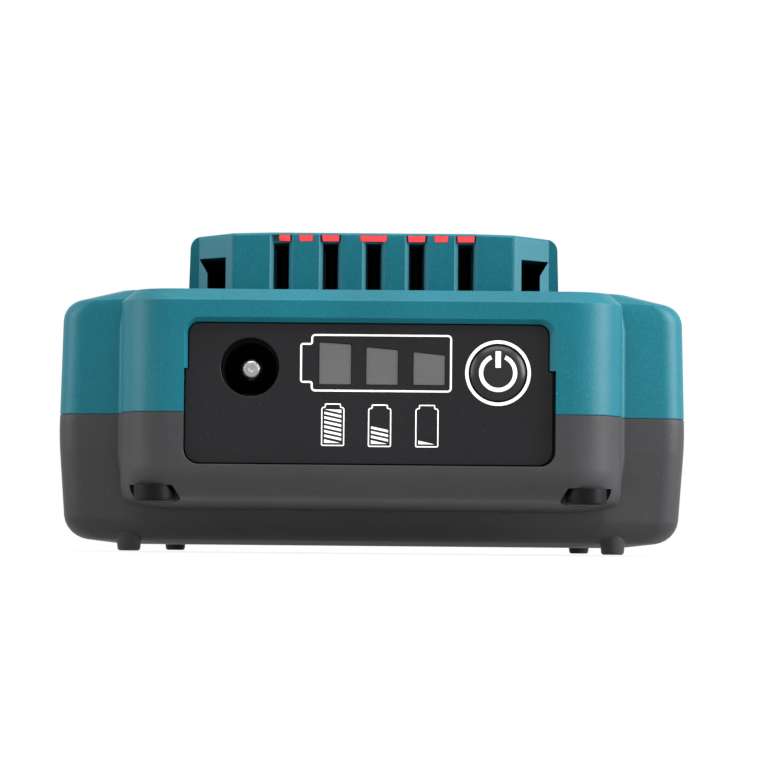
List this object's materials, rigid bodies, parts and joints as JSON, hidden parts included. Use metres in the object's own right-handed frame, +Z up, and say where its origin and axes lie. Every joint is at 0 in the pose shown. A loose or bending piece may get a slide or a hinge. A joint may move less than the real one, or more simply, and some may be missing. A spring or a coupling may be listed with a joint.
{
  "type": "power tool battery pack",
  "caption": "Slim slide-on tool battery with a charge panel and socket in its nose, a press button, a slide block with terminal slots and a sprung release latch.",
  "frame": {"origin": "on the floor under the middle of the pack's outline, at the feet's bottom faces", "axes": "+Z up, -Y towards the nose with the charge panel, +Y towards the release latch, +X to the right seen from the nose"},
  "size_m": [0.075, 0.118, 0.0386],
  "materials": {
    "teal_plastic": "fine moulded texture",
    "grey_plastic": "fine moulded texture",
    "panel_plastic": "fine texture",
    "window_plastic": "smoky translucent",
    "button_plastic": "dished, satin",
    "switch_plastic": "plain",
    "led_resin": "clear resin",
    "circuit_board": "solder mask",
    "bright_steel": "plated",
    "jack_plastic": "plain",
    "lead_red": "insulated wire",
    "lead_black": "insulated wire",
    "ribbon_grey": "flat ribbon",
    "chip_resin": "moulded resin",
    "contact_metal": "spring strip",
    "red_plastic": "satin",
    "cell_wrap": "shrink sleeve",
    "holder_plastic": "plain",
    "strip_nickel": "rolled strip",
    "insulation_film": "film",
    "foam": "closed cell foam",
    "black_steel": "black oxide",
    "latch_plastic": "fine moulded texture"
  },
  "bodies": {
    "pack": {"upper_housing": "teal_plastic", "lower_housing": "grey_plastic", "front_bezel": "panel_plastic", "light_guide": "window_plastic", "tact_switch": "switch_plastic", "indicator_leds": "led_resin", "indicator_board": "circuit_board", "indicator_screws": "bright_steel", "dc_jack_body": "jack_plastic", "dc_jack_pin": "bright_steel", "dc_jack_spring": "bright_steel", "jack_lead_positive": "lead_red", "jack_lead_negative": "lead_black", "ribbon_cable": "ribbon_grey", "ribbon_socket": "holder_plastic", "main_board": "circuit_board", "control_chip": "chip_resin", "power_transistors": "chip_resin", "shunt_resistor": "contact_metal", "terminal_positive": "contact_metal", "terminal_charge": "contact_metal", "terminal_sense": "contact_metal", "terminal_data": "contact_metal", "terminal_negative": "contact_metal", "terminal_guard": "red_plastic", "cell_1": "cell_wrap", "cell_2": "cell_wrap", "cell_3": "cell_wrap", "cell_4": "cell_wrap", "cell_5": "cell_wrap", "cell_holder_left": "holder_plastic", "cell_holder_right": "holder_plastic", "strip_negative": "strip_nickel", "strip_1_2": "strip_nickel", "strip_2_3": "strip_nickel", "strip_3_4": "strip_nickel", "strip_4_5": "strip_nickel", "strip_positive": "strip_nickel", "insulation_left": "insulation_film", "insulation_right": "insulation_film", "thermistor": "chip_resin", "foam_pad": "foam", "housing_screws": "black_steel", "board_screws": "bright_steel", "latch_spring_left": "bright_steel", "latch_spring_right": "bright_steel"},
    "button": {"power_button": "button_plastic", "switch_plunger": "switch_plastic"},
    "latch": {"release_latch": "latch_plastic"}
  },
  "joints": [
    {"name": "button_press", "type": "slide", "parent": "pack", "child": "button", "axis": [0, 1, 0], "range_m": [0, 0.0005], "stiffness_N_per_m": 1500, "springref_m": -0.0004},
    {"name": "latch_press", "type": "slide", "parent": "pack", "child": "latch", "axis": [0, 0, -1], "range_m": [0, 0.004], "stiffness_N_per_m": 900, "springref_m": -0.004, "deforming": ["latch_spring_left", "latch_spring_right"]}
  ]
}
